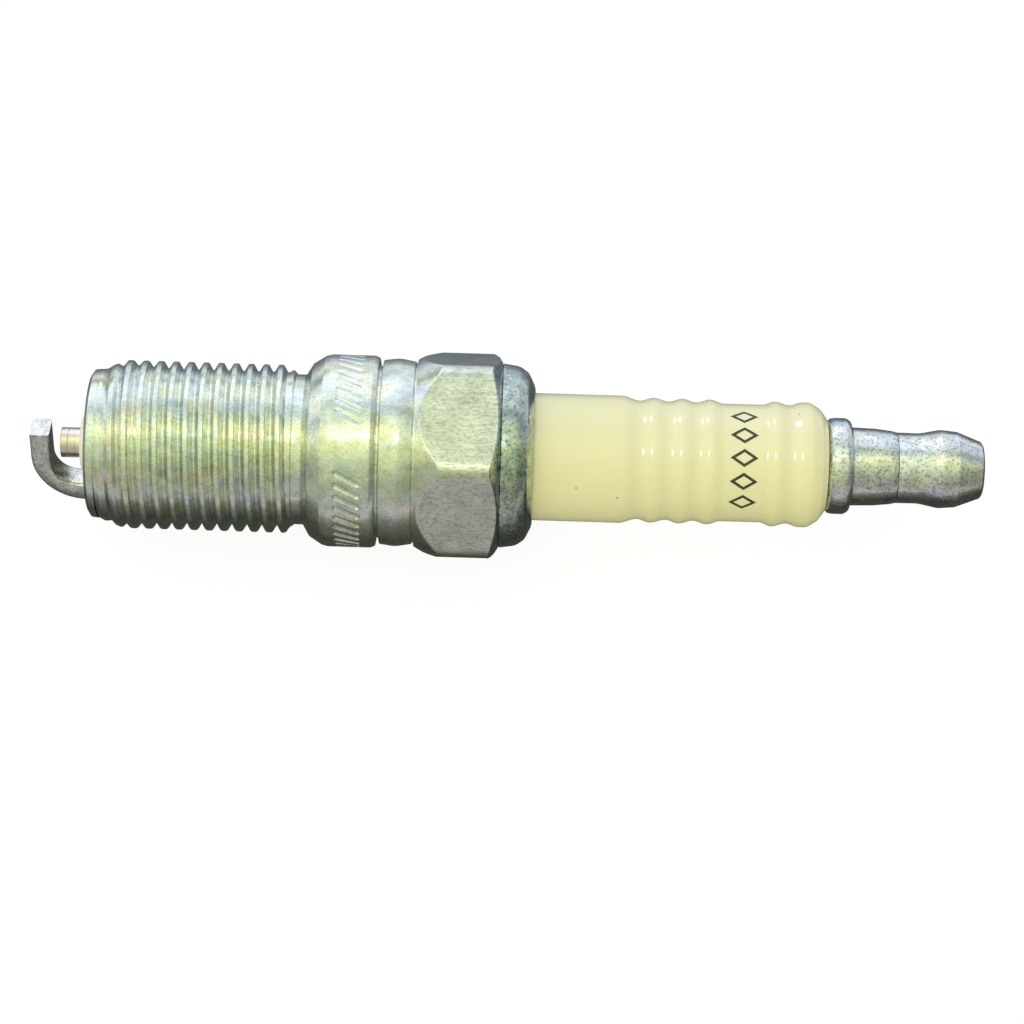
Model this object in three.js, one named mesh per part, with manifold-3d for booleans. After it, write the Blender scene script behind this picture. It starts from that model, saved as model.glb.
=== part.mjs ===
// A spark plug with a conical seat, an M14 x 1.25 thread and a 16 mm hexagon, built from its twelve pieces.
// Millimetres. The axis lies along X with the terminal at +X, +Z is up, and two hexagon flats face +Z and -Z.
// The origin is on the axis, halfway between the ground electrode's outer face and the terminal's end.
import * as THREE from "three";
import { mergeVertices } from "three/addons/utils/BufferGeometryUtils.js";
import Module from "manifold-3d";

const wasm = await Module();
wasm.setup();

// ---------------------------------------------------------------- driving dimensions
// Stations are distances along the axis from the start of the conical seat, + towards the terminal.

const SEGMENTS = 36; // facets round every piece that shows, and round the shell's inside
const CORE_SEGMENTS = 24; // facets round the thin pieces inside the insulator's bore
const FIT = 0.03; // clearance between pieces that touch in the real plug
const DEGREE = Math.PI / 180;

// The shell's thread, M14 x 1.25, right-hand.
const THREAD_RADIUS = 7;
const THREAD_PITCH = 1.25;
const THREAD_CREST = -2.125; // station of the last full crest, on the side named next
const THREAD_CREST_SIDE = -70.3 / 360; // in turns round the axis from +Z
const THREAD_START = -16.95;
const THREAD_END = -0.85;
const LEAD_ANGLE = 21 * DEGREE; // of the cone that the first turns rise along
const RUN_OUT_ANGLE = 45 * DEGREE; // of the cone that the last turn fades along

// The shell's outside.
const SHELL_FRONT = -17.75;
const RIM_RADIUS = 5.75;
const RELIEF_RADIUS = 6.25;
const COLLAR_RADIUS = 8;
const COLLAR_END = 5.7;
const SEAT_HALF_ANGLE = 31.5 * DEGREE; // the conical seat is 63 degrees across
const SEAT_STEP_RADIUS = 7.15; // where the steeper lead-in meets the seat
const SEAT_STEP = 0.6;
const GROOVE_RADIUS = 7.45; // of the narrow groove between collar and neck
const NECK_RADIUS = 7.65;
const NECK_START = 6.42;
const NECK_END = 9.1;

// The hexagon, 16 mm across flats.
const HEX_FLATS = 16;
const HEX_CORNER = 1.5; // radius of its rounded corners
const HEX_START = 9.3;
const HEX_END = 16.4;
const HEX_FRONT_CHAMFER = 30 * DEGREE; // to the axis
const HEX_REAR_CHAMFER = 59 * DEGREE;
const HEX_FRONT_RADIUS = 7.8; // where the front chamfer starts
const HEX_REAR_RADIUS = 7.56; // where the rear chamfer ends

// The crimped rim behind the hexagon.
const CRIMP_RADIUS = 7.67;
const CRIMP_END = 19.1;
const CRIMP_LIP_RADIUS = 5.38;

// The shell's bore.
const BORE_FRONT_RADIUS = 4.2;
const LEDGE_RADIUS = 4;
const BORE_RADIUS = 4.95;
const CAVITY_RADIUS = 6.3;
const CAVITY_START = 4.4;
const CAVITY_END = 17.95;

// The ground electrode: a flat strap welded to the rim and bent over the centre electrode.
const STRAP_END = -22.75; // outer face of the arm, the front end of the plug
const STRAP_THICKNESS = 1.65;
const STRAP_WIDTH = 2.3;
const STRAP_RADIUS = 5.3; // outer face of the leg, from the axis
const STRAP_BEND = 4.4; // outer radius of the bend
const STRAP_INNER_BEND = 2.2;
const STRAP_OVERHANG = 1.57; // how far the free end passes the axis
const STRAP_ANGLE = 150 * DEGREE; // round the axis from +Z towards local +X
const STRAP_EDGE = 0.1; // chamfer on the long edges

// The insulator.
const NOSE_TIP = -18.55;
const NOSE_TIP_RADIUS = 2.38;
const NOSE_RADIUS = 3.3;
const SHOULDER_START = -9.3;
const SHOULDER_SLOPE = 0.786; // rise along the axis per millimetre of radius
const INSULATOR_BODY_RADIUS = 4.7;
const FLANGE_RADIUS = 6.1;
const FLANGE_END = 12.5;
const INSULATOR_RADIUS = 5.3;
const INSULATOR_END = 43.35;
const RIB_RADIUS = 5.2;
const RIB_GROOVE_RADIUS = 4.95;
const BAND_RADIUS = 4.9; // the plain band between the ribs
const RIBS_START = 26.6;
const LOWER_RIBS = [28.9, 31.3, 33.6];
const LOWER_GROOVES = [27.8, 30.2, 32.5];
const BAND_START = 34.75;
const BAND_END = 38.1;
const UPPER_RIBS = [39, 41.3];
const UPPER_GROOVE = 40.2;
const ELECTRODE_BORE = 1.3;
const STUD_BORE = 1.95;
const ELECTRODE_SEAT = -5; // station of the step between the two bores
const ELECTRODE_SEAT_HEIGHT = 0.65;

// The centre electrode and its core.
const ELECTRODE_TIP = -20.25;
const ELECTRODE_RADIUS = 1.25;
const ELECTRODE_HEAD_RADIUS = 1.85;
const ELECTRODE_HEAD_END = -3.4;
const CORE_RADIUS = 0.65;
const CORE_TIP = -17.2;

// The glass seal.
const SEAL_START = -3.9;
const SEAL_END = 4;

// The terminal stud, with its M4 x 0.7 tip.
const STUD_START = 0.5;
const STUD_RADIUS = 1.75;
const STUD_FOOT_RADIUS = 1.5;
const STUD_FOOT_GROOVE = 1.3;
const STUD_COLLAR_RADIUS = 4;
const STUD_COLLAR_END = 45.35;
const STUD_COLLAR_ROUND = 0.5;
const POST_START_RADIUS = 3.22;
const POST_END_RADIUS = 2.98;
const POST_END = 49.2;
const STUD_END = 54.45;
const TIP_THREAD_RADIUS = 2;
const TIP_THREAD_PITCH = 0.7;

// The terminal nut.
const NUT_END = 56.4;
const NUT_BULGE_RADIUS = 3.24;
const NUT_FACE_RADIUS = 2.2;
const NUT_BORE = 2.06;
const NUT_BORE_END = 54.65;

// The packing behind the insulator's flange.
const WIRE_RADIUS = 0.45;
const LOWER_RING = 13.65;
const UPPER_RING = 17.45;
const GASKET_HEIGHT = 0.53; // room along the axis between shoulder and ledge

// ---------------------------------------------------------------- solids

// A closed three.js geometry as a solid, with coincident vertices joined.
function solidOf(geometry) {
  geometry.deleteAttribute("normal");
  geometry.deleteAttribute("uv");
  const merged = mergeVertices(geometry, 1e-4);
  const index = merged.index.array;
  const kept = [];
  for (let i = 0; i < index.length; i += 3) {
    const [a, b, c] = [index[i], index[i + 1], index[i + 2]];
    if (a !== b && b !== c && c !== a) kept.push(a, b, c);
  }
  return new wasm.Manifold(
    new wasm.Mesh({
      numProp: 3,
      vertProperties: merged.attributes.position.array,
      triVerts: new Uint32Array(kept),
    }),
  );
}

// A solid as a three.js geometry.
function geometryOf(solid) {
  const mesh = solid.getMesh();
  const geometry = new THREE.BufferGeometry();
  geometry.setAttribute("position", new THREE.BufferAttribute(mesh.vertProperties, 3));
  geometry.setIndex(new THREE.BufferAttribute(mesh.triVerts, 1));
  geometry.computeVertexNormals();
  return geometry;
}

// A profile point, given the usual way round: station first, then radius.
function at(station, radius) {
  return [radius, station];
}

// A profile turned round the axis; each curve in it gets the given number of steps.
function turned(profile, segments = SEGMENTS, curveSteps = 3) {
  return solidOf(new THREE.LatheGeometry(profile.getPoints(curveSteps), segments));
}

// Extends a profile to (station, radius) by half a cosine wave, level at both ends.
function waveTo(profile, station, radius, steps = 2) {
  const from = profile.currentPoint.clone();
  for (let i = 1; i <= steps; i++) {
    const ease = (1 - Math.cos((Math.PI * i) / steps)) / 2;
    const along = from.y + ((station - from.y) * i) / steps;
    profile.lineTo(...at(along, from.x + (radius - from.x) * ease));
  }
  return profile;
}

// Depth of a metric thread's flank: five eighths of the height of its 60 degree triangle.
function threadDepth(pitch) {
  return (5 / 8) * pitch * Math.cos(30 * DEGREE);
}

// The outline of a right-hand thread with 60 degree flanks, between two stations of a cylinder at its root,
// at a side of the cylinder given in turns round the axis. At side 0 a crest is at the station named crest.
// The ridge rises out of the cylinder at the start and sinks into it at the end, along the two angles.
function threadOutline({ radius, pitch, start, end, crest, rise, fade }, side) {
  const root = radius - threadDepth(pitch);
  const flank = Math.tan(30 * DEGREE);
  const halfFoot = pitch / 16 + (radius - root) * flank;
  const turns = Math.ceil((end - start) / pitch) + 1;
  const first = Math.ceil((start - crest) / pitch) - 1;
  const points = [];
  for (let turn = first; turn <= first + turns; turn++) {
    const middle = crest + pitch * (turn + side);
    const risen = (middle - start - halfFoot) * Math.tan(rise);
    const sunk = (end - halfFoot - middle) * Math.tan(fade);
    const height = THREE.MathUtils.clamp(Math.min(risen, sunk), 0, radius - root);
    const halfCrest = halfFoot - height * flank;
    points.push(at(middle - halfFoot, root));
    points.push(at(middle - halfCrest, root + height));
    points.push(at(middle + halfCrest, root + height));
    points.push(at(middle + halfFoot, root));
  }
  return points.map(([r, station]) => [r, THREE.MathUtils.clamp(station, start, end)]);
}

// A turned profile with a thread let into it, between the profile's two halves.
// Each column of the surface meets the thread a little further along; the last column is the first again.
function turnedWithThread(before, thread, after, segments) {
  const front = before.getPoints(3).map((p) => [p.x, p.y]);
  const back = after.getPoints(3).map((p) => [p.x, p.y]);
  const positions = [];
  let count = 0;
  for (let i = 0; i <= segments; i++) {
    const phi = (2 * Math.PI * (i % segments)) / segments;
    const column = [...front, ...threadOutline(thread, i / segments), ...back];
    column.forEach(([r, station]) => positions.push(r * Math.sin(phi), station, r * Math.cos(phi)));
    count = column.length;
  }
  const index = [];
  for (let i = 0; i < segments; i++) {
    for (let j = 0; j < count - 1; j++) {
      const a = i * count + j;
      const b = a + count;
      index.push(a, b, a + 1);
      index.push(b, b + 1, a + 1);
    }
  }
  const geometry = new THREE.BufferGeometry();
  geometry.setAttribute("position", new THREE.Float32BufferAttribute(positions, 3));
  geometry.setIndex(index);
  return solidOf(geometry);
}

// ---------------------------------------------------------------- metal shell

const THREAD_ROOT = THREAD_RADIUS - threadDepth(THREAD_PITCH);

// Station of the insulator's front shoulder, a cone, at a radius; the shell's ledge runs parallel to it.
function shoulderAt(radius) {
  return SHOULDER_START + (radius - NOSE_RADIUS) * SHOULDER_SLOPE;
}

function ledgeAt(radius) {
  return shoulderAt(radius) - GASKET_HEIGHT;
}

const SHELL_THREAD = {
  radius: THREAD_RADIUS,
  pitch: THREAD_PITCH,
  start: THREAD_START,
  end: THREAD_END,
  crest: THREAD_CREST - THREAD_CREST_SIDE * THREAD_PITCH,
  rise: LEAD_ANGLE,
  fade: RUN_OUT_ANGLE,
};

// The shell as turned: everything but the hexagon.
function shellCore() {
  const seatEnd = SEAT_STEP + (COLLAR_RADIUS - SEAT_STEP_RADIUS) / Math.tan(SEAT_HALF_ANGLE);
  const front = new THREE.Path();
  front.moveTo(...at(SHELL_FRONT, BORE_FRONT_RADIUS));
  front.lineTo(...at(SHELL_FRONT, RIM_RADIUS));
  front.lineTo(...at(SHELL_FRONT + 0.25, RIM_RADIUS + 0.4));
  front.lineTo(...at(THREAD_START, THREAD_ROOT));
  const back = new THREE.Path();
  back.moveTo(...at(THREAD_END, THREAD_ROOT));
  back.lineTo(...at(THREAD_END + 0.1, RELIEF_RADIUS));
  back.lineTo(...at(0, RELIEF_RADIUS));
  back.lineTo(...at(SEAT_STEP, SEAT_STEP_RADIUS));
  back.lineTo(...at(seatEnd, COLLAR_RADIUS));
  back.lineTo(...at(COLLAR_END, COLLAR_RADIUS));
  back.lineTo(...at(COLLAR_END + 0.35, COLLAR_RADIUS - 0.15));
  back.lineTo(...at(COLLAR_END + 0.48, GROOVE_RADIUS));
  back.lineTo(...at(NECK_START - 0.12, GROOVE_RADIUS));
  back.lineTo(...at(NECK_START, NECK_RADIUS));
  back.quadraticCurveTo(
    ...at((NECK_START + NECK_END) / 2, NECK_RADIUS + 0.3),
    ...at(NECK_END, NECK_RADIUS - 0.09),
  );
  back.lineTo(...at(NECK_END + 0.1, NECK_RADIUS - 0.17));
  back.lineTo(...at(HEX_END - 0.3, NECK_RADIUS - 0.17));
  back.lineTo(...at(HEX_END - 0.15, CRIMP_RADIUS));
  back.quadraticCurveTo(
    ...at(CRIMP_END - 1.2, CRIMP_RADIUS - 0.15),
    ...at(CRIMP_END - 0.65, CRIMP_RADIUS - 0.75),
  );
  back.quadraticCurveTo(
    ...at(CRIMP_END, CRIMP_RADIUS - 1.15),
    ...at(CRIMP_END, CRIMP_LIP_RADIUS + 0.35),
  );
  back.lineTo(...at(CRIMP_END - 0.25, CRIMP_LIP_RADIUS));
  back.lineTo(...at(CRIMP_END - 0.7, CRIMP_LIP_RADIUS + 0.05));
  back.lineTo(...at(CAVITY_END, CAVITY_RADIUS));
  back.lineTo(...at(CAVITY_START, CAVITY_RADIUS));
  back.lineTo(...at(CAVITY_START - 1.2, BORE_RADIUS));
  back.lineTo(...at(ledgeAt(BORE_RADIUS), BORE_RADIUS));
  back.lineTo(...at(ledgeAt(LEDGE_RADIUS), LEDGE_RADIUS));
  back.lineTo(...at(ledgeAt(LEDGE_RADIUS) - 0.9, LEDGE_RADIUS));
  back.lineTo(...at(ledgeAt(LEDGE_RADIUS) - 1.3, BORE_FRONT_RADIUS));
  back.lineTo(...at(SHELL_FRONT, BORE_FRONT_RADIUS));
  return turnedWithThread(front, SHELL_THREAD, back, SEGMENTS);
}

// A hexagonal bar with rounded corners, standing along the axis.
function hexagonalBar() {
  const toCorner = (HEX_FLATS / 2 - HEX_CORNER) / Math.cos(30 * DEGREE);
  const outline = new THREE.Shape();
  for (let corner = 0; corner < 6; corner++) {
    const angle = corner * 60 * DEGREE;
    const centre = [toCorner * Math.cos(angle), toCorner * Math.sin(angle)];
    outline.absarc(...centre, HEX_CORNER, angle - 30 * DEGREE, angle + 30 * DEGREE, false);
  }
  const depth = HEX_END - HEX_START + 2;
  const bar = new THREE.ExtrudeGeometry(outline, { depth, bevelEnabled: false, curveSegments: 4 });
  bar.rotateX(-90 * DEGREE);
  bar.translate(0, HEX_START - 1, 0);
  return solidOf(bar);
}

// The hexagon, a ring whose corners are turned off at both ends.
function shellHexagon() {
  const beyond = HEX_FLATS / 2 / Math.cos(30 * DEGREE) + 0.2;
  const inside = CAVITY_RADIUS + 0.4;
  const chamfers = new THREE.Path();
  chamfers.moveTo(...at(HEX_START, inside));
  chamfers.lineTo(...at(HEX_START, HEX_FRONT_RADIUS));
  chamfers.lineTo(...at(HEX_START + (beyond - HEX_FRONT_RADIUS) / Math.tan(HEX_FRONT_CHAMFER), beyond));
  chamfers.lineTo(...at(HEX_END - (beyond - HEX_REAR_RADIUS) / Math.tan(HEX_REAR_CHAMFER), beyond));
  chamfers.lineTo(...at(HEX_END, HEX_REAR_RADIUS));
  chamfers.lineTo(...at(HEX_END, inside));
  chamfers.closePath();
  return hexagonalBar().intersect(turned(chamfers));
}

function metalShell() {
  return shellCore().add(shellHexagon());
}

// ---------------------------------------------------------------- ground electrode

// The strap's side view, in the plane of the axis: x is the distance from the axis, y the station.
function groundElectrode() {
  const inner = STRAP_RADIUS - STRAP_THICKNESS;
  const bendRadius = STRAP_RADIUS - STRAP_BEND;
  const bendStation = STRAP_END + STRAP_BEND;
  const innerBendStation = STRAP_END + STRAP_THICKNESS + STRAP_INNER_BEND;
  const foot = SHELL_FRONT - FIT;
  const side = new THREE.Shape();
  side.moveTo(inner, foot);
  side.lineTo(inner, innerBendStation);
  side.absarc(inner - STRAP_INNER_BEND, innerBendStation, STRAP_INNER_BEND, 0, -Math.PI / 2, true);
  side.lineTo(-STRAP_OVERHANG, STRAP_END + STRAP_THICKNESS);
  side.lineTo(-STRAP_OVERHANG, STRAP_END);
  side.lineTo(bendRadius, STRAP_END);
  side.absarc(bendRadius, bendStation, STRAP_BEND, -Math.PI / 2, 0, false);
  side.lineTo(STRAP_RADIUS, foot);
  const depth = STRAP_WIDTH - 2 * STRAP_EDGE;
  const geometry = new THREE.ExtrudeGeometry(side, {
    depth,
    bevelThickness: STRAP_EDGE,
    bevelSize: STRAP_EDGE,
    bevelOffset: -STRAP_EDGE,
    bevelSegments: 1,
    curveSegments: 6,
  });
  geometry.translate(0, 0, -depth / 2);
  return solidOf(geometry);
}

// ---------------------------------------------------------------- insulator

function insulator() {
  const profile = new THREE.Path();
  profile.moveTo(...at(ELECTRODE_SEAT, ELECTRODE_BORE));
  profile.lineTo(...at(NOSE_TIP + 0.1, ELECTRODE_BORE));
  profile.lineTo(...at(NOSE_TIP, ELECTRODE_BORE + 0.12));
  profile.lineTo(...at(NOSE_TIP, NOSE_TIP_RADIUS - 0.55));
  profile.quadraticCurveTo(
    ...at(NOSE_TIP, NOSE_TIP_RADIUS - 0.05),
    ...at(NOSE_TIP + 0.5, NOSE_TIP_RADIUS),
  );
  profile.lineTo(...at(SHOULDER_START, NOSE_RADIUS));
  profile.lineTo(...at(shoulderAt(INSULATOR_BODY_RADIUS), INSULATOR_BODY_RADIUS));
  profile.lineTo(...at(CAVITY_START - 1.1, INSULATOR_BODY_RADIUS));
  profile.lineTo(...at(CAVITY_START + 0.2, FLANGE_RADIUS));
  profile.lineTo(...at(FLANGE_END, FLANGE_RADIUS));
  profile.lineTo(...at(FLANGE_END + 1, INSULATOR_RADIUS));
  profile.lineTo(...at(RIBS_START, INSULATOR_RADIUS));
  LOWER_RIBS.forEach((rib, i) => {
    waveTo(profile, LOWER_GROOVES[i], RIB_GROOVE_RADIUS);
    waveTo(profile, rib, RIB_RADIUS);
  });
  waveTo(profile, BAND_START, BAND_RADIUS);
  profile.lineTo(...at(BAND_END, BAND_RADIUS));
  waveTo(profile, UPPER_RIBS[0], RIB_RADIUS);
  waveTo(profile, UPPER_GROOVE, RIB_GROOVE_RADIUS);
  waveTo(profile, UPPER_RIBS[1], RIB_RADIUS);
  profile.quadraticCurveTo(
    ...at(INSULATOR_END - 0.9, RIB_RADIUS),
    ...at(INSULATOR_END - 0.35, RIB_RADIUS - 0.8),
  );
  profile.lineTo(...at(INSULATOR_END, STUD_COLLAR_RADIUS));
  profile.lineTo(...at(INSULATOR_END, STUD_BORE));
  profile.lineTo(...at(ELECTRODE_SEAT + ELECTRODE_SEAT_HEIGHT, STUD_BORE));
  profile.closePath();
  return turned(profile);
}

// ---------------------------------------------------------------- centre electrode

// The nickel sheath: a rod with a collar that rests on the step of the bore, and a blind hole for the core.
function centreElectrode() {
  const collar = ELECTRODE_SEAT + ELECTRODE_SEAT_HEIGHT + FIT;
  const profile = new THREE.Path();
  profile.moveTo(...at(ELECTRODE_TIP, 0));
  profile.lineTo(...at(ELECTRODE_TIP, ELECTRODE_RADIUS - 0.05));
  profile.lineTo(...at(ELECTRODE_TIP + 0.05, ELECTRODE_RADIUS));
  profile.lineTo(...at(ELECTRODE_SEAT + 0.05, ELECTRODE_RADIUS));
  profile.lineTo(...at(collar, ELECTRODE_HEAD_RADIUS));
  profile.lineTo(...at(SEAL_START - FIT, ELECTRODE_HEAD_RADIUS));
  profile.lineTo(...at(SEAL_START - FIT, ELECTRODE_RADIUS));
  profile.lineTo(...at(ELECTRODE_HEAD_END, ELECTRODE_RADIUS));
  profile.lineTo(...at(ELECTRODE_HEAD_END, CORE_RADIUS + FIT));
  profile.lineTo(...at(CORE_TIP + CORE_RADIUS, CORE_RADIUS + FIT));
  profile.lineTo(...at(CORE_TIP - FIT, 0));
  return turned(profile, CORE_SEGMENTS);
}

// The copper core, pointed at the front.
function centreElectrodeCore() {
  const profile = new THREE.Path();
  profile.moveTo(...at(CORE_TIP + FIT, 0));
  profile.lineTo(...at(CORE_TIP + CORE_RADIUS + FIT, CORE_RADIUS));
  profile.lineTo(...at(ELECTRODE_HEAD_END, CORE_RADIUS));
  profile.lineTo(...at(ELECTRODE_HEAD_END, 0));
  return turned(profile, CORE_SEGMENTS);
}

// ---------------------------------------------------------------- glass seal

// The glass fills the bore between electrode and stud, and wraps the ends of both.
function glassSeal() {
  const outer = STUD_BORE - FIT;
  const stud = STUD_FOOT_RADIUS + FIT;
  const head = ELECTRODE_RADIUS + FIT;
  const profile = new THREE.Path();
  profile.moveTo(...at(ELECTRODE_HEAD_END + FIT, 0));
  profile.lineTo(...at(ELECTRODE_HEAD_END + FIT, head));
  profile.lineTo(...at(SEAL_START, head));
  profile.lineTo(...at(SEAL_START, outer));
  profile.lineTo(...at(SEAL_END, outer));
  profile.lineTo(...at(SEAL_END, stud));
  profile.lineTo(...at(STUD_START - FIT, stud));
  profile.lineTo(...at(STUD_START - FIT, 0));
  return turned(profile, CORE_SEGMENTS);
}

// ---------------------------------------------------------------- terminal

const TIP_THREAD = {
  radius: TIP_THREAD_RADIUS,
  pitch: TIP_THREAD_PITCH,
  start: POST_END,
  end: STUD_END - 0.2,
  crest: POST_END,
  rise: 60 * DEGREE,
  fade: 45 * DEGREE,
};

// The stud: a grooved foot in the glass, a long shank, the collar and post that show, and a threaded tip.
function terminalStud() {
  const tipRoot = TIP_THREAD_RADIUS - threadDepth(TIP_THREAD_PITCH);
  const collarStart = INSULATOR_END + FIT;
  const grooves = 3;
  const grooveStep = (SEAL_END - STUD_START) / (grooves + 0.5);
  const body = new THREE.Path();
  body.moveTo(...at(STUD_START, 0));
  body.lineTo(...at(STUD_START, STUD_FOOT_RADIUS));
  for (let i = 0; i < grooves; i++) {
    const groove = STUD_START + (i + 0.5) * grooveStep;
    body.lineTo(...at(groove, STUD_FOOT_RADIUS));
    body.lineTo(...at(groove + grooveStep / 4, STUD_FOOT_GROOVE));
    body.lineTo(...at(groove + grooveStep / 2, STUD_FOOT_RADIUS));
  }
  body.lineTo(...at(SEAL_END + 0.3, STUD_FOOT_RADIUS));
  body.lineTo(...at(SEAL_END + 0.55, STUD_RADIUS));
  body.lineTo(...at(collarStart, STUD_RADIUS));
  body.lineTo(...at(collarStart, STUD_COLLAR_RADIUS - STUD_COLLAR_ROUND));
  body.quadraticCurveTo(
    ...at(collarStart, STUD_COLLAR_RADIUS),
    ...at(collarStart + STUD_COLLAR_ROUND, STUD_COLLAR_RADIUS),
  );
  body.lineTo(...at(STUD_COLLAR_END - STUD_COLLAR_ROUND, STUD_COLLAR_RADIUS));
  body.quadraticCurveTo(
    ...at(STUD_COLLAR_END, STUD_COLLAR_RADIUS),
    ...at(STUD_COLLAR_END, STUD_COLLAR_RADIUS - STUD_COLLAR_ROUND),
  );
  body.lineTo(...at(STUD_COLLAR_END, POST_START_RADIUS));
  body.lineTo(...at(POST_END, POST_END_RADIUS));
  body.lineTo(...at(POST_END, tipRoot));
  const end = new THREE.Path();
  end.moveTo(...at(STUD_END - 0.2, tipRoot));
  end.lineTo(...at(STUD_END, tipRoot - 0.2));
  end.lineTo(...at(STUD_END, 0));
  return turnedWithThread(body, TIP_THREAD, end, CORE_SEGMENTS);
}

// The nut: a barrel with a slight waist, a conical nose with a flat end, and a blind bore.
function terminalNut() {
  const start = POST_END + FIT;
  const length = NUT_END - start;
  const profile = new THREE.Path();
  profile.moveTo(...at(NUT_BORE_END + 0.7, 0));
  profile.lineTo(...at(NUT_BORE_END, NUT_BORE));
  profile.lineTo(...at(start + 0.25, NUT_BORE));
  profile.lineTo(...at(start, NUT_BORE + 0.25));
  profile.lineTo(...at(start, POST_END_RADIUS - 0.04));
  profile.quadraticCurveTo(
    ...at(start + 0.25 * length, POST_END_RADIUS),
    ...at(start + 0.5 * length, NUT_BULGE_RADIUS),
  );
  profile.quadraticCurveTo(
    ...at(start + 0.62 * length, NUT_BULGE_RADIUS + 0.02),
    ...at(start + 0.7 * length, NUT_BULGE_RADIUS - 0.2),
  );
  profile.lineTo(...at(NUT_END, NUT_FACE_RADIUS));
  profile.lineTo(...at(NUT_END, 0));
  return turned(profile);
}

// ---------------------------------------------------------------- seals and packing

// The thin conical gasket between the insulator's shoulder and the shell's ledge.
function innerGasket() {
  const inner = LEDGE_RADIUS + 0.05;
  const outer = INSULATOR_BODY_RADIUS - 0.05;
  const profile = new THREE.Path();
  profile.moveTo(...at(ledgeAt(inner) + FIT, inner));
  profile.lineTo(...at(ledgeAt(outer) + FIT, outer));
  profile.lineTo(...at(shoulderAt(outer) - FIT, outer));
  profile.lineTo(...at(shoulderAt(inner) - FIT, inner));
  profile.closePath();
  return turned(profile);
}

// A wire ring between insulator and shell.
function packingRing(station) {
  const middle = (INSULATOR_RADIUS + CAVITY_RADIUS) / 2;
  const profile = new THREE.Path();
  profile.absarc(middle, station, WIRE_RADIUS, 0, 2 * Math.PI, false);
  return turned(profile, SEGMENTS, 4);
}

// The talc packed between the two wire rings.
function talcFilling() {
  const inner = INSULATOR_RADIUS + FIT;
  const outer = CAVITY_RADIUS - FIT;
  const start = LOWER_RING + WIRE_RADIUS + FIT;
  const end = UPPER_RING - WIRE_RADIUS - FIT;
  const profile = new THREE.Path();
  profile.moveTo(...at(start, inner));
  profile.lineTo(...at(start, outer));
  profile.lineTo(...at(end, outer));
  profile.lineTo(...at(end, inner));
  profile.closePath();
  return turned(profile);
}

// ---------------------------------------------------------------- materials

function zincPlate() {
  return new THREE.MeshStandardMaterial({ color: 0x9fa394, roughness: 0.38, metalness: 0.85 });
}

function nickelStrap() {
  return new THREE.MeshStandardMaterial({ color: 0x8d8c82, roughness: 0.45, metalness: 0.8 });
}

function glazedCeramic() {
  return new THREE.MeshStandardMaterial({ color: 0xf2ecd3, roughness: 0.15, metalness: 0 });
}

function nickelElectrode() {
  return new THREE.MeshStandardMaterial({ color: 0xcdbba5, roughness: 0.4, metalness: 0.8 });
}

function copper() {
  return new THREE.MeshStandardMaterial({ color: 0xb46a42, roughness: 0.35, metalness: 0.9 });
}

function sealingGlass() {
  return new THREE.MeshStandardMaterial({ color: 0x57504a, roughness: 0.5, metalness: 0.3 });
}

function platedTerminal() {
  return new THREE.MeshStandardMaterial({ color: 0xb3b5a9, roughness: 0.32, metalness: 0.9 });
}

function plainSteel() {
  return new THREE.MeshStandardMaterial({ color: 0x8f9295, roughness: 0.4, metalness: 0.85 });
}

function packedTalc() {
  return new THREE.MeshStandardMaterial({ color: 0xd9d6cb, roughness: 0.95, metalness: 0 });
}

// ---------------------------------------------------------------- assembly

function piece(name, solid, material) {
  const mesh = new THREE.Mesh(geometryOf(solid), material);
  mesh.name = name;
  return mesh;
}

const shell = new THREE.Group();
shell.add(piece("metal_shell", metalShell(), zincPlate()));
shell.add(piece("inner_gasket", innerGasket(), plainSteel()));
shell.add(piece("lower_packing_ring", packingRing(LOWER_RING), plainSteel()));
shell.add(piece("talc_filling", talcFilling(), packedTalc()));
shell.add(piece("upper_packing_ring", packingRing(UPPER_RING), plainSteel()));

const strap = piece("ground_electrode", groundElectrode(), nickelStrap());
strap.rotation.y = STRAP_ANGLE - Math.PI / 2;
shell.add(strap);

const core = new THREE.Group();
core.add(piece("insulator", insulator(), glazedCeramic()));
core.add(piece("centre_electrode", centreElectrode(), nickelElectrode()));
core.add(piece("centre_electrode_core", centreElectrodeCore(), copper()));
core.add(piece("glass_seal", glassSeal(), sealingGlass()));

const terminal = new THREE.Group();
terminal.add(piece("terminal_stud", terminalStud(), platedTerminal()));
terminal.add(piece("terminal_nut", terminalNut(), platedTerminal()));

// The pieces are turned round Y; the plug's axis is laid along X, with the origin at mid-length.
const plug = new THREE.Group();
plug.name = "spark_plug";
plug.add(shell, core, terminal);
plug.rotation.z = -Math.PI / 2;
plug.position.x = -(STRAP_END + NUT_END) / 2;

export default plug;
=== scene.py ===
"""A spark plug with a conical seat lying on a pale floor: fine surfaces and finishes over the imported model.

The plug's axis is the X axis. Along it, stations are millimetres from the start of the conical seat, +
towards the terminal. Round it, a side is given in turns from +Z, and grows as a right-hand thread climbs
towards the terminal.
"""

import math

import bmesh
import bpy
import numpy as np
from mathutils import Matrix, Vector


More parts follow.
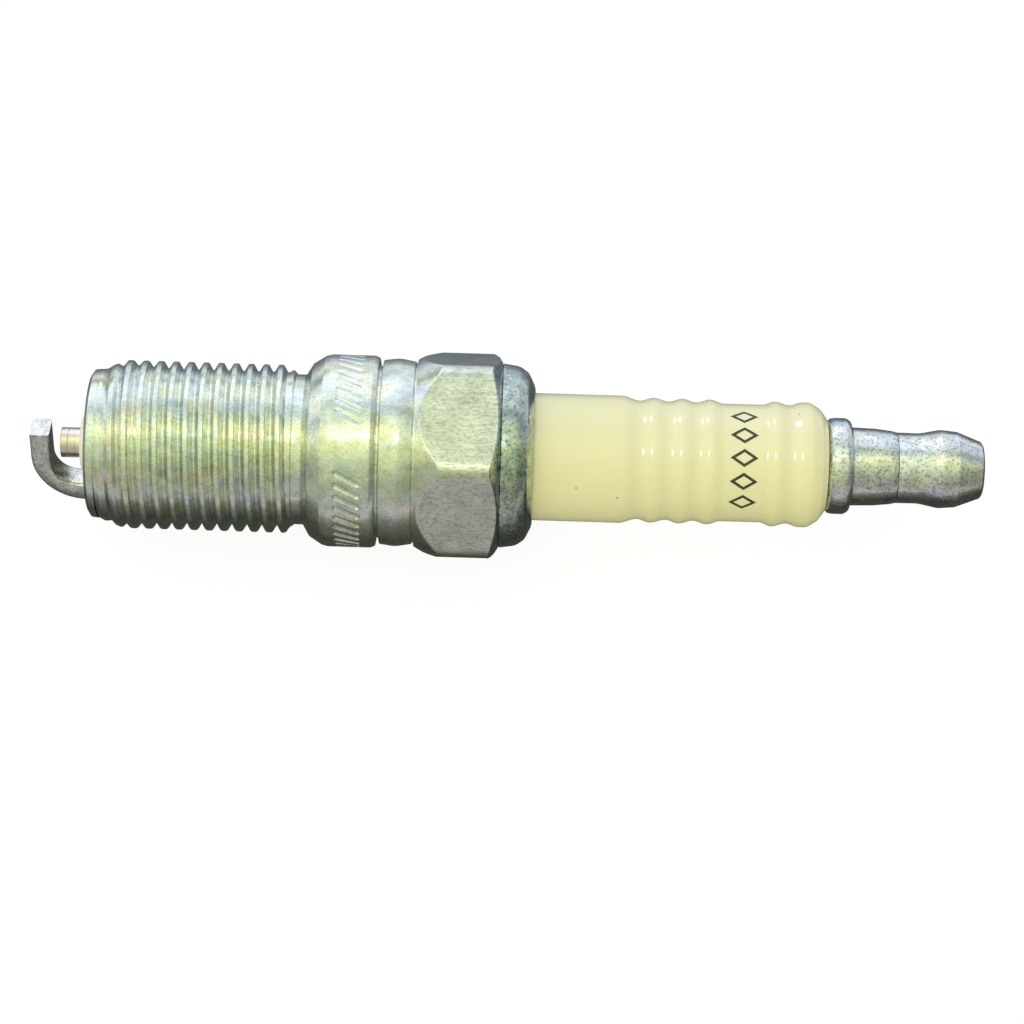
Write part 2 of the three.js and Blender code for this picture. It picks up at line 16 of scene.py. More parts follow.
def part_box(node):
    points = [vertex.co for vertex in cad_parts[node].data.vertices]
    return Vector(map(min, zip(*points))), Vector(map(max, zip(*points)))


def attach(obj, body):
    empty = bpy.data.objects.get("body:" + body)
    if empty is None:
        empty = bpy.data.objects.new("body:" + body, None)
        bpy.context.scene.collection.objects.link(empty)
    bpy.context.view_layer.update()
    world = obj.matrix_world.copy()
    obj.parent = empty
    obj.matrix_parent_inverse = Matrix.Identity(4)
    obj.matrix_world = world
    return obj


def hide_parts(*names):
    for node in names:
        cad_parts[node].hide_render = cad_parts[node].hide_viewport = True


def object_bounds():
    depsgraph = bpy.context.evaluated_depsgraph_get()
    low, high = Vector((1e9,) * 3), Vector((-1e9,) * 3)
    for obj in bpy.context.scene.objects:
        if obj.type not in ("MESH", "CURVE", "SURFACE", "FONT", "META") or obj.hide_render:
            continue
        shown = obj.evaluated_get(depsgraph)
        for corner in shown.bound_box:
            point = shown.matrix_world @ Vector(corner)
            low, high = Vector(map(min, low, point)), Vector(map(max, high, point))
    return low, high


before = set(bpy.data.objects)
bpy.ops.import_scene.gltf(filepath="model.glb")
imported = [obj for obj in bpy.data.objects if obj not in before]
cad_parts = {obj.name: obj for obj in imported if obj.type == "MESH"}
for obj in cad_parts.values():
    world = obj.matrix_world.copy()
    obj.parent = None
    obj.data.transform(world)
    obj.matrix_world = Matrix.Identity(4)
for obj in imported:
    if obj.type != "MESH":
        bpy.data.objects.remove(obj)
cad_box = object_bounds()

MM = 0.001
DEGREE = math.pi / 180


# ---------------------------------------------------------------- sizes from the frame


THREAD_LENGTH = 17.75  # the thread with its rim, up to the conical seat
SEAT_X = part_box("metal_shell")[0].x / MM + THREAD_LENGTH


def reach(name):
    """(front station, back station, widest radius across Y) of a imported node, in mm."""
    low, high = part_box(name)
    return low.x / MM - SEAT_X, high.x / MM - SEAT_X, high.y / MM


SHELL_FRONT, SHELL_BACK, _ = reach("metal_shell")
STRAP_FRONT, _, _ = reach("ground_electrode")
NOSE_TIP, INSULATOR_BACK, _ = reach("insulator")
ELECTRODE_TIP, ELECTRODE_BACK, _ = reach("centre_electrode")
CORE_TIP, _, CORE_RADIUS = reach("centre_electrode_core")
NUT_START, NUT_END, NUT_RADIUS = reach("terminal_nut")
STUD_START, STUD_END, STUD_COLLAR_RADIUS = reach("terminal_stud")
HEX_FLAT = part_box("metal_shell")[1].z / MM
COLLAR_RADIUS = HEX_FLAT  # the collar is as wide as the hexagon across its flats

THREAD_RADIUS = 7.0
THREAD_PITCH = 1.25
THREAD_START = -16.95
THREAD_END = -0.85
THREAD_CREST = -2.125 + 70.3 / 360 * THREAD_PITCH  # station of a crest on the +Z side
COLUMNS = 192  # of faces round the shell, which keeps it under 200,000 triangles

VIEW_ELEVATION = 70.3 * DEGREE
TO_CAMERA = Vector((0, -math.cos(VIEW_ELEVATION), math.sin(VIEW_ELEVATION)))
IMAGE_UP = Vector((0, math.sin(VIEW_ELEVATION), math.cos(VIEW_ELEVATION)))


# ---------------------------------------------------------------- outlines


def rounded(corners, steps=3):
    """The outline through corners (station, radius, fillet), each turned to a curve of about that fillet."""
    points = [corners[0][:2]]
    for before, corner, after in zip(corners, corners[1:], corners[2:]):
        p = Vector(corner[:2])
        back = Vector(before[:2]) - p
        ahead = Vector(after[:2]) - p
        fillet = corner[2] if len(corner) > 2 else 0
        if not fillet:
            points.append(tuple(p))
            continue
        half = back.angle(ahead) / 2
        cut = min(fillet / math.tan(half), 0.48 * back.length, 0.48 * ahead.length)
        start = p + back.normalized() * cut
        end = p + ahead.normalized() * cut
        for i in range(steps + 1):
            t = i / steps
            points.append(tuple(start * (1 - t) ** 2 + p * 2 * t * (1 - t) + end * t**2))
    points.append(corners[-1][:2])
    return points


def wave(start, end, steps=7):
    """Half a cosine wave between two (station, radius) points, level at both ends, less the first point."""
    points = []
    for i in range(1, steps + 1):
        ease = (1 - math.cos(math.pi * i / steps)) / 2
        points.append((start[0] + (end[0] - start[0]) * i / steps, start[1] + (end[1] - start[1]) * ease))
    return points


LEAD_TURNS = 5  # turns from the start by which grooves that start from nothing reach full depth
LEAD_GROOVE = 0.2  # how far such grooves may cut into the lead-in cone where they start


def thread_tooth(pitch, depth, half_crest, crest_fillet, root_fillet):
    """One pitch of a 60 degree thread as (offset from the crest, height over the root)."""
    flank = math.tan(30 * DEGREE)
    half_foot = half_crest + depth * flank
    corners = [
        (-pitch / 2, 0),
        (-half_foot, 0, root_fillet),
        (-half_crest, depth, crest_fillet),
        (half_crest, depth, crest_fillet),
        (half_foot, 0, root_fillet),
        (pitch / 2, 0),
    ]
    return rounded(corners, 3)[:-1]


def thread_outline(tooth, radius, pitch, start, end, crest, rise, fade, side, foot=None, shallow=1.0):
    """A right-hand thread's outline at a side, on a lead-in cone at the start and fading at the end.

    The lead-in cone starts at the radius foot. The grooves start at a share of their depth, shallow.
    """
    depth = max(height for _, height in tooth)
    root = radius - depth
    foot = foot or root
    turns = math.ceil((end - start) / pitch) + 1
    first = math.ceil((start - crest) / pitch) - 1
    points = []
    for turn in range(first, first + turns + 1):
        middle = crest + pitch * (turn + side)
        for offset, height in tooth:
            station = min(max(middle + offset, start), end)
            lead = foot + (station - start) * math.tan(rise)
            run_out = root + (end - station) * math.tan(fade)
            surface = min(radius, lead, run_out)
            share = min(shallow + (1 - shallow) * (station - start) / (LEAD_TURNS * pitch), 1)
            bottom = min(surface - LEAD_GROOVE * (1 - share), root)
            points.append((station, max(surface - (depth - height) * share, bottom)))
    return points


# ---------------------------------------------------------------- meshes


def new_object(name, mesh, *materials):
    """A new object in the scene with its mesh and materials."""
    piece = bpy.data.objects.new(name, mesh)
    bpy.context.scene.collection.objects.link(piece)
    for material in materials:
        mesh.materials.append(material)
    return piece


MERGE_DISTANCE = 4e-7  # metres: closes the seam of a turned mesh and its ends on the axis


def turned(outline, columns=COLUMNS):
    """A bmesh turned round the axis; outline(side) gives equally many (station, radius) at every side."""
    table = np.array([outline(i / columns) for i in range(columns + 1)])
    angle = 2 * math.pi * (np.arange(columns + 1) % columns) / columns
    station, radius = table[..., 0], table[..., 1]
    xyz = np.stack(
        [SEAT_X + station, -radius * np.sin(angle)[:, None], radius * np.cos(angle)[:, None]], axis=-1
    )
    count = table.shape[1]
    bm = bmesh.new()
    vertices = [bm.verts.new(p) for p in (xyz * MM).reshape(-1, 3)]
    for i in range(columns):
        for j in range(count - 1):
            a = i * count + j
            b = a + count
            bm.faces.new((vertices[a], vertices[b], vertices[b + 1], vertices[a + 1]))
    bmesh.ops.remove_doubles(bm, verts=bm.verts, dist=MERGE_DISTANCE)
    return bm


def polar(vertex):
    """(station, radius, side) of a mesh vertex, in mm and turns."""
    x, y, z = vertex.co / MM
    return x - SEAT_X, math.hypot(y, z), math.atan2(-y, z) / (2 * math.pi) % 1


def finished(name, bm, body, nodes, slot, *materials, sharp=38):
    """The bmesh as a smooth-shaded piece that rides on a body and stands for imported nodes."""
    mesh = bpy.data.meshes.new(name)
    bm.to_mesh(mesh)
    bm.free()
    mesh.shade_smooth()
    mesh.set_sharp_from_angle(angle=sharp * DEGREE)
    piece = new_object(name, mesh, *materials)
    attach(piece, body)
    if nodes:
        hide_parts(*nodes)
    return piece


# ---------------------------------------------------------------- material helpers


def node(tree, kind, inputs=None, **settings):
    """A shader node with its settings, and its inputs set to values or linked to sockets."""
    made = tree.nodes.new(kind)
    for key, value in settings.items():
        setattr(made, key, value)
    for key, value in (inputs or {}).items():
        if isinstance(value, bpy.types.NodeSocket):
            tree.links.new(value, made.inputs[key])
        else:
            made.inputs[key].default_value = value
    return made


def ramp(tree, factor, *stops):
    """A colour ramp's colour socket; each stop is (position, grey) or (position, (r, g, b))."""
    made = node(tree, "ShaderNodeValToRGB", {"Fac": factor})
    elements = made.color_ramp.elements
    while len(elements) < len(stops):
        elements.new(0.5)
    for element, (position, colour) in zip(elements, stops):
        element.position = position
        element.color = (*colour, 1) if isinstance(colour, tuple) else (colour, colour, colour, 1)
    return made.outputs["Color"]


def mix(tree, factor, a, b, blend="MIX"):
    """The colour socket of a mix of a and b, each a colour or a socket."""
    made = node(tree, "ShaderNodeMix", data_type="RGBA", blend_type=blend)
    for index, value in ((0, factor), (6, a), (7, b)):
        if isinstance(value, bpy.types.NodeSocket):
            tree.links.new(value, made.inputs[index])
        elif index == 0:
            made.inputs[index].default_value = value
        else:
            made.inputs[index].default_value = (*value, 1)
    return made.outputs[2]


def math_node(tree, operation, a, b=0.0):
    """The result socket of a math node on one or two values or sockets."""
    return node(tree, "ShaderNodeMath", {0: a, 1: b}, operation=operation).outputs[0]


def stretched(tree, along, across):
    """Object coordinates in cells per mm: along the axis, and across it."""
    source = node(tree, "ShaderNodeTexCoord").outputs["Object"]
    scale = (along / MM, across / MM, across / MM)
    return node(tree, "ShaderNodeVectorMath", {0: source, 1: scale}, operation="MULTIPLY").outputs[0]


def noise(tree, along, across, detail=3.0, roughness=0.6, distortion=0.0):
    """A noise value with cells of 1/along mm on the axis and 1/across mm across it."""
    inputs = {
        "Vector": stretched(tree, along, across),
        "Scale": 1.0,
        "Detail": detail,
        "Roughness": roughness,
        "Distortion": distortion,
    }
    return node(tree, "ShaderNodeTexNoise", inputs).outputs["Fac"]


def bump(tree, height, depth_mm, normal=None):
    """A normal with a relief of a depth in mm, over another normal if one is given."""
    inputs = {"Height": height, "Strength": 1.0, "Distance": depth_mm * MM}
    if normal is not None:
        inputs["Normal"] = normal
    return node(tree, "ShaderNodeBump", inputs).outputs["Normal"]


def principled(name):
    """A new material, its node tree and its Principled node."""
    material = bpy.data.materials.new(name)
    material.use_nodes = True
    tree = material.node_tree
    return material, tree, tree.nodes["Principled BSDF"]


def wire(tree, shader, **sockets):
    """Sets or links a shader's inputs, an underscore standing for a space in their names."""
    for key, value in sockets.items():
        socket = shader.inputs[key.replace("_", " ")]
        if isinstance(value, bpy.types.NodeSocket):
            tree.links.new(value, socket)
        elif socket.type == "RGBA":
            socket.default_value = (*value, 1)
        else:
            socket.default_value = value


# ---------------------------------------------------------------- materials


def zinc(name, pale, dark, lines=0.5, speckle=0.5, rough=0.15, cells=5.0):
    """Zinc plate: a faint lilac, green and yellow bloom, turning lines round the axis and a fine speckle."""
    material, tree, shader = principled(name)
    bloom = noise(tree, 0.40, 0.55, 2, 0.5)
    tint = ramp(
        tree,
        bloom,
        (0.30, (0.90, 0.89, 1.0)),
        (0.42, (0.88, 0.96, 1.0)),
        (0.52, (0.97, 1.0, 0.95)),
        (0.62, (0.99, 1.0, 0.87)),
        (0.72, (1.0, 0.93, 0.94)),
    )
    grain = noise(tree, cells, cells, 4, 0.75)
    cloud = noise(tree, 0.9, 1.1, 4, 0.65)
    plate = mix(tree, ramp(tree, cloud, (0.35, 0.0), (0.62, 1.0)), dark, pale)
    plate = mix(tree, 1.0, plate, tint, "MULTIPLY")
    pits = ramp(tree, grain, (0.46 - 0.08 * speckle, 0.40), (0.50, 1.0))
    plate = mix(tree, speckle, plate, mix(tree, 1.0, plate, pits, "MULTIPLY"))
    rings = noise(tree, 9.0, 0.2, 3, 0.7)
    gloss = node(tree, "ShaderNodeMath", {0: cloud, 1: 0.16, 2: rough - 0.08}, operation="MULTIPLY_ADD")
    relief = bump(tree, rings, 0.006 * lines)
    relief = bump(tree, cloud, 0.020, relief)
    relief = bump(tree, grain, 0.012 * speckle, relief)
    wire(tree, shader, Base_Color=plate, Metallic=1.0, Roughness=gloss.outputs[0], Normal=relief)
    return material


def zinc_flat(name):
    """The hexagon's flats: zinc over forged steel, with short wavy drag marks along the axis and pits."""
    material, tree, shader = principled(name)
    drag = noise(tree, 0.6, 2.8, 3, 0.6, 0.8)
    grain = noise(tree, 2.6, 3.6, 4, 0.7)
    cloud = noise(tree, 0.5, 0.5, 2, 0.5)
    plate = mix(tree, ramp(tree, cloud, (0.35, 0.0), (0.65, 1.0)), (0.64, 0.67, 0.60), (0.75, 0.79, 0.71))
    pits = ramp(tree, grain, (0.38, 0.72), (0.52, 1.0))
    streaks = ramp(tree, drag, (0.40, 0.91), (0.52, 1.0))
    plate = mix(tree, 1.0, mix(tree, 1.0, plate, pits, "MULTIPLY"), streaks, "MULTIPLY")
    relief = bump(tree, drag, 0.03)
    relief = bump(tree, grain, 0.018, relief)
    wire(tree, shader, Base_Color=plate, Metallic=1.0, Roughness=0.18, Normal=relief)
    return material


def strap_nickel(name):
    """Rolled nickel alloy, mottled grey with a trace of olive."""
    material, tree, shader = principled(name)
    grain = noise(tree, 4.5, 4.5, 4, 0.75)
    cloud = noise(tree, 1.4, 1.4, 3, 0.6)
    metal = mix(tree, ramp(tree, cloud, (0.35, 0.0), (0.65, 1.0)), (0.66, 0.67, 0.64), (0.92, 0.91, 0.92))
    pits = ramp(tree, grain, (0.38, 0.4), (0.5, 1.0))
    metal = mix(tree, 0.7, metal, mix(tree, 1.0, metal, pits, "MULTIPLY"))
    relief = bump(tree, cloud, 0.02)
    relief = bump(tree, grain, 0.010, relief)
    wire(tree, shader, Base_Color=metal, Metallic=1.0, Roughness=0.2, Normal=relief)
    return material


def electrode_nickel(name):
    """Turned nickel alloy, warm, with bands round it."""
    material, tree, shader = principled(name)
    rings = noise(tree, 3.5, 0.1, 3, 0.6)
    grain = noise(tree, 7.0, 7.0, 3, 0.7)
    metal = mix(tree, ramp(tree, rings, (0.35, 0.0), (0.65, 1.0)), (0.72, 0.60, 0.52), (1.0, 0.91, 0.87))
    relief = bump(tree, rings, 0.02)
    relief = bump(tree, grain, 0.006, relief)
    wire(tree, shader, Base_Color=metal, Metallic=1.0, Roughness=0.2, Normal=relief)
    return material


def glaze(name):
    """Ivory glaze over alumina: faint clouds, rare dark specks, and a slightly uneven gloss."""
    material, tree, shader = principled(name)
    cloud = noise(tree, 0.25, 0.35, 2, 0.5)
    ivory = mix(tree, cloud, (0.83, 0.81, 0.45), (0.87, 0.86, 0.51))
    cells = node(tree, "ShaderNodeTexVoronoi", {"Vector": stretched(tree, 0.55, 0.55), "Scale": 1.0})
    spot = math_node(tree, "LESS_THAN", cells.outputs["Distance"], 0.045)
    chance = node(tree, "ShaderNodeSeparateColor", {"Color": cells.outputs["Color"]}).outputs["Red"]
    rare = math_node(tree, "LESS_THAN", chance, 0.22)
    specks = math_node(tree, "MULTIPLY", spot, rare)
    ivory = mix(tree, math_node(tree, "MULTIPLY", specks, 0.75), ivory, (0.16, 0.13, 0.08))
    peel = noise(tree, 0.9, 0.9, 2, 0.5)
    wire(
        tree,
        shader,
        Base_Color=ivory,
        Roughness=0.09,
        IOR=1.5,
        Subsurface_Weight=0.1,
        Subsurface_Radius=(0.9, 0.8, 0.5),
        Subsurface_Scale=0.6 * MM,
        Normal=bump(tree, peel, 0.006),
    )
    return material


def nose_ceramic(name):
    """The unglazed nose: cream and matt."""
    material, tree, shader = principled(name)
    grain = noise(tree, 4.0, 4.0, 3, 0.6)
    cream = mix(tree, grain, (0.84, 0.78, 0.62), (0.92, 0.88, 0.76))
    wire(tree, shader, Base_Color=cream, Roughness=0.55, Normal=bump(tree, grain, 0.006))
    return material


def simple_finish(name, low, high, metallic, roughness, cell, depth):
    """Two shades of one finish clouded together, with a relief from the same noise."""
    material, tree, shader = principled(name)
    cloud = noise(tree, cell, cell, 4, 0.65)
    shade = mix(tree, ramp(tree, cloud, (0.35, 0.0), (0.65, 1.0)), low, high)
    wire(
        tree,
        shader,
        Base_Color=shade,
        Metallic=metallic,
        Roughness=roughness,
        Normal=bump(tree, cloud, depth),
    )
    return material


ZINC_TURNED = zinc("zinc_turned", (0.92, 0.94, 0.90), (0.72, 0.75, 0.69), lines=1.0, speckle=0.3)
ZINC_CRIMPED = zinc("zinc_crimped", (0.66, 0.72, 0.72), (0.42, 0.48, 0.47), 0.2, 1.0, 0.18, cells=3.6)
ZINC_FLAT = zinc_flat("zinc_flat")
ZINC_TERMINAL = zinc("zinc_terminal", (0.95, 0.95, 1.0), (0.72, 0.74, 0.80), 0.5, 0.9, 0.13, cells=4.0)
STRAP = strap_nickel("strap_nickel")
ELECTRODE = electrode_nickel("electrode_nickel")
GLAZE = glaze("ivory_glaze")
NOSE = nose_ceramic("nose_ceramic")
INK = simple_finish("ink", (0.030, 0.030, 0.016), (0.065, 0.060, 0.030), 0.0, 0.5, 6.0, 0.004)


# ---------------------------------------------------------------- metal shell


HEX_START = SHELL_BACK - 9.8
HEX_END = SHELL_BACK - 2.7
FRONT_SLOPE = math.tan(30 * DEGREE)
REAR_SLOPE = math.tan(59 * DEGREE)
HEX_FRONT_RADIUS = 7.8
HEX_REAR_RADIUS = 7.56
HEX_CORNER_RADIUS = 1.5
FRONT_EDGE = 0.16  # half the width of the band of close rows along the edge to the front cone
REAR_EDGE = 0.12  # the same along the edge to the rear cone
EDGE_BLEND = 0.07  # flat and cone are blended where their radii differ by less than this


def hexagon_radius(side):
    """Radius of the hexagon at a side, its flats facing +Z and -Z and its corners rounded."""
    from_flat = abs((side * 6 + 0.5) % 1 - 0.5) * 60 * DEGREE
    if HEX_FLAT * math.tan(from_flat) < (HEX_FLAT - HEX_CORNER_RADIUS) * math.tan(30 * DEGREE):
        return HEX_FLAT / math.cos(from_flat)
    to_corner = (HEX_FLAT - HEX_CORNER_RADIUS) / math.cos(30 * DEGREE)
    from_corner = 30 * DEGREE - from_flat
    beside = to_corner * math.sin(from_corner)
    return to_corner * math.cos(from_corner) + math.sqrt(HEX_CORNER_RADIUS**2 - beside**2)


def soft_min(a, b, blend):
    """The lesser of a and b, rounded off where they are within blend of each other."""
    gap = max(blend - abs(a - b), 0) / blend
    return min(a, b) - gap * gap * blend / 4


def hexagon_outline(side):
    """The hexagon at a side: front cone, flat, rear cone. Its rows follow the curves where these meet."""
    flat = hexagon_radius(side)
    front = HEX_START + (flat - HEX_FRONT_RADIUS) / FRONT_SLOPE
    rear = HEX_END - (flat - HEX_REAR_RADIUS) / REAR_SLOPE
    lead = [HEX_START + (front - FRONT_EDGE - HEX_START) * i / 5 for i in range(5)]
    edge = [front + offset for offset in (-FRONT_EDGE, -FRONT_EDGE / 2, 0, FRONT_EDGE / 2, FRONT_EDGE)]
    between = rear - front - (FRONT_EDGE + REAR_EDGE)
    middle = [front + FRONT_EDGE + between * i / 8 for i in range(1, 8)]
    back = [rear + offset for offset in (-REAR_EDGE, -0.05, 0, 0.05, REAR_EDGE)]
    last = HEX_END - 0.08
    tail = [rear + REAR_EDGE + (last - rear - REAR_EDGE) * i / 4 for i in range(1, 5)]
    points = []
    for station in lead + edge + middle + back + tail:
        cone = min(
            HEX_FRONT_RADIUS + (station - HEX_START) * FRONT_SLOPE,
            HEX_REAR_RADIUS + (HEX_END - station) * REAR_SLOPE,
        )
        points.append((station, soft_min(flat, cone, EDGE_BLEND)))
    return points


SHELL_TOOTH = thread_tooth(THREAD_PITCH, 0.6, 0.2, 0.16, 0.06)
THREAD_ROOT = THREAD_RADIUS - max(height for _, height in SHELL_TOOTH)
BORE_RADIUS = 4.2
RIM_RADIUS = 6.2  # where the thread starts
RELIEF_RADIUS = 6.25  # of the plain ring between thread and seat
GROOVE_RADIUS = 7.15  # of the narrow groove between collar and neck
NECK_GROOVE_RADIUS = 7.46  # of the narrow groove between neck and hexagon
CAVITY_RADIUS = 6.3  # round the insulator's flange
BODY_BORE_RADIUS = 4.95  # round the insulator's body
LEDGE_RADIUS = 4.0  # at the inner edge of the ledge under the insulator's shoulder
STAMP_START = 2.6  # of the collar's stamped band
STAMP_END = 5.2
STAMP_ROWS = 14

SHELL_RIM = rounded(
    [
        (SHELL_FRONT + 3, BORE_RADIUS),
        (SHELL_FRONT, BORE_RADIUS, 0.15),
        (SHELL_FRONT, 5.75, 0.12),
        (SHELL_FRONT + 0.25, 6.15, 0.15),
        (THREAD_START, RIM_RADIUS),
    ]
)
SHELL_COLLAR = rounded(
    [
        (THREAD_END, THREAD_ROOT),
        (THREAD_END + 0.1, RELIEF_RADIUS, 0.05),
        (0.05, RELIEF_RADIUS, 0.15),
        (0.6, 7.2, 0.3),
        (1.65, 7.87, 0.2),
        (2.15, COLLAR_RADIUS, 0.8),
        (STAMP_START, COLLAR_RADIUS),
    ]
)
SHELL_NECK = rounded(
    [
        (STAMP_END, COLLAR_RADIUS),
        (5.72, COLLAR_RADIUS, 0.35),
        (6.08, 7.84, 0.1),
        (6.16, GROOVE_RADIUS, 0.04),
        (6.34, GROOVE_RADIUS, 0.04),
        (6.44, 7.66, 0.06),
        (7.75, 7.84, 2.5),
        (9.08, 7.6, 0.08),
        (9.18, NECK_GROOVE_RADIUS, 0.04),
        (HEX_START, NECK_GROOVE_RADIUS, 0.03),
        (HEX_START + 0.001, HEX_FRONT_RADIUS - 0.02),
    ]
)
SHELL_CRIMP = rounded(
    [
        (HEX_END - 0.07, 7.55),
        (HEX_END - 0.02, 7.67, 0.05),
        (SHELL_BACK - 1.35, 7.47, 1.2),
        (SHELL_BACK - 0.6, 6.95, 0.9),
        (SHELL_BACK - 0.12, 5.95, 0.5),
        (SHELL_BACK, 5.5, 0.2),
        (SHELL_BACK - 0.25, 5.37, 0.12),
        (SHELL_BACK - 0.7, 5.43, 0.1),
        (SHELL_BACK - 1.15, CAVITY_RADIUS, 0.05),
        (4.4, CAVITY_RADIUS, 0.05),
        (3.2, BODY_BORE_RADIUS, 0.05),
        (-8.54, BODY_BORE_RADIUS, 0.05),
        (-9.28, LEDGE_RADIUS, 0.05),
        (-10.18, LEDGE_RADIUS, 0.1),
        (-10.58, BORE_RADIUS, 0.1),
        (SHELL_FRONT + 3, BORE_RADIUS),
    ]
)


def shell_outline(side):
    """The shell's closed outline at a side: rim, thread, seat, collar, neck, hexagon, crimp and inside."""
    thread = thread_outline(
        SHELL_TOOTH,
        THREAD_RADIUS,
        THREAD_PITCH,
        THREAD_START,
        THREAD_END,
        THREAD_CREST,
        21 * DEGREE,
        45 * DEGREE,
        side,
        foot=RIM_RADIUS,
        shallow=0.4,
    )
    step = (STAMP_END - STAMP_START) / STAMP_ROWS
    band = [(STAMP_START + step * i, COLLAR_RADIUS) for i in range(STAMP_ROWS + 1)]
    return [
        *SHELL_RIM,
        *thread,
        *SHELL_COLLAR[:-1],
        *band,
        *SHELL_NECK[1:],
        *hexagon_outline(side),
        *SHELL_CRIMP,
    ]


STROKES = 48
STROKE_GAP_SIDE = 20.7 / 360  # the middle of the plain stretch, on the side towards the camera
STROKE_GAP = 16 / 360  # half the plain stretch, in turns
STROKE_START = 3.0
STROKE_END = 4.75
STROKE_SLANT = 0.9  # how far a stroke leans round the collar from start to end
STROKE_HALF_WIDTH = 0.17
STROKE_DEPTH = 0.16
FAINT_STROKE_DEPTH = 0.06  # of the strokes behind the plain stretch
STROKE_REACH = 1.5  # round the collar, beyond which a stroke has no effect


def stroke_depth(station, side):
    """How far the stamped strokes press the collar in, at a station and side: a ring of slanted bars."""
    around = 2 * math.pi * COLLAR_RADIUS
    length = STROKE_END - STROKE_START
    slant = STROKE_SLANT
    nearest = math.inf
    depth = 0.0
    for k in range(STROKES):
        middle = k / STROKES
        away = (middle - STROKE_GAP_SIDE + 0.5) % 1 - 0.5
        if abs(away) < STROKE_GAP:
            continue
        arc = ((side - middle + 0.5) % 1 - 0.5) * around
        if abs(arc) > STROKE_REACH:
            continue
        ahead = station - STROKE_START
        t = (ahead * length + (arc + slant / 2) * slant) / (length**2 + slant**2)
        t = min(max(t, 0), 1)
        gap = math.hypot(ahead - t * length, arc + slant / 2 - t * slant)
        if gap < nearest:
            nearest = gap
            depth = STROKE_DEPTH if away > 0 else FAINT_STROKE_DEPTH
    if nearest > 2 * STROKE_HALF_WIDTH:
        return 0.0
    ease = min(max(1.6 - nearest / STROKE_HALF_WIDTH, 0), 1)
    pressed = ease * ease * (3 - 2 * ease)
    return depth * pressed


def stamp_collar(bm):
    """Divides the band of the collar finely and presses the strokes into it."""
    band = [
        face
        for face in bm.faces
        if STAMP_START - 0.01 < face.calc_center_median().x / MM - SEAT_X < STAMP_END + 0.01
        and face.calc_center_median().yz.length / MM > COLLAR_RADIUS - 0.1
    ]
    edges = list({edge for face in band for edge in face.edges})
    bmesh.ops.subdivide_edges(bm, edges=edges, cuts=2, use_grid_fill=True)
    for vertex in bm.verts:
        station, radius, side = polar(vertex)
        if STAMP_START + 0.01 < station < STAMP_END - 0.01 and radius > COLLAR_RADIUS - 0.1:
            depth = stroke_depth(station, side)
            scale = (COLLAR_RADIUS - depth) / radius
            vertex.co.y *= scale
            vertex.co.z *= scale


def build_shell():
    """The shell, with the flats' own finish on the flats and the crimp's on the rear cone and the crimp."""
    bm = turned(shell_outline)
    stamp_collar(bm)
    for face in bm.faces:
        centre = face.calc_center_median() / MM
        station = centre.x - SEAT_X
        normal = face.normal
        if HEX_START < station < HEX_END and abs(normal.x) < 0.12 and centre.yz.length > HEX_FLAT - 0.1:
            face.material_index = 1
        elif station > HEX_END - 1.2:
            face.material_index = 2
    return finished(
        "shell", bm, "plug", ["metal_shell"], "zinc_plated_steel", ZINC_TURNED, ZINC_FLAT, ZINC_CRIMPED
    )


# ---------------------------------------------------------------- ground electrode


STRAP_ACROSS = Vector((0, math.cos(30 * DEGREE), -0.5))  # along the strap's width
STRAP_OUT = Vector((0, -0.5, -math.cos(30 * DEGREE)))  # from the axis to the leg
STRAP_BEND = 4.4  # outer radius
STRAP_INNER_BEND = 2.2
STRAP_WELD = 0.05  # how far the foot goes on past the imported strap's, to close its gap to the shell
STRAP_CORNER = 0.26  # radius of the long edges
BEND_STEPS = 16
ARM_STEPS = 8


def strap_sizes():
    """(outer face, inner face, free end, foot's station, half width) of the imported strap, in mm.

    The first three are distances from the axis: of the leg's two faces, and of the arm's end beyond it.
    """
    points = [vertex.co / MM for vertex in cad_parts["ground_electrode"].data.vertices]
    foot = max(p.x for p in points)
    outer = max(p.dot(STRAP_OUT) for p in points)
    inner = min(p.dot(STRAP_OUT) for p in points if p.x > foot - 0.01)
    free = -min(p.dot(STRAP_OUT) for p in points)
    half_width = max(p.dot(STRAP_ACROSS) for p in points)
    return outer, inner, free, foot - SEAT_X, half_width


def strap_side(outer, inner, free, foot):
    """The strap's side view: pairs of (station, distance from the axis) on its inner and outer faces."""
    foot += STRAP_WELD
    arm = STRAP_FRONT + (outer - inner)
    pairs = [((foot, inner), (foot, outer)), ((foot - 0.4, inner), (foot - 0.2, outer))]
    for i in range(BEND_STEPS + 1):
        angle = i / BEND_STEPS * math.pi / 2
        across, along = math.sin(angle), math.cos(angle)
        inside = (arm + STRAP_INNER_BEND * (1 - across), inner - STRAP_INNER_BEND * (1 - along))
        outside = (STRAP_FRONT + STRAP_BEND * (1 - across), outer - STRAP_BEND * (1 - along))
        pairs.append((inside, outside))
    start_in, start_out = inner - STRAP_INNER_BEND, outer - STRAP_BEND
    for i in range(1, ARM_STEPS + 1):
        inside = (arm, start_in + (-free - start_in) * i / ARM_STEPS)
        outside = (STRAP_FRONT, start_out + (-free - start_out) * i / ARM_STEPS)
        pairs.append((inside, outside))
    return pairs


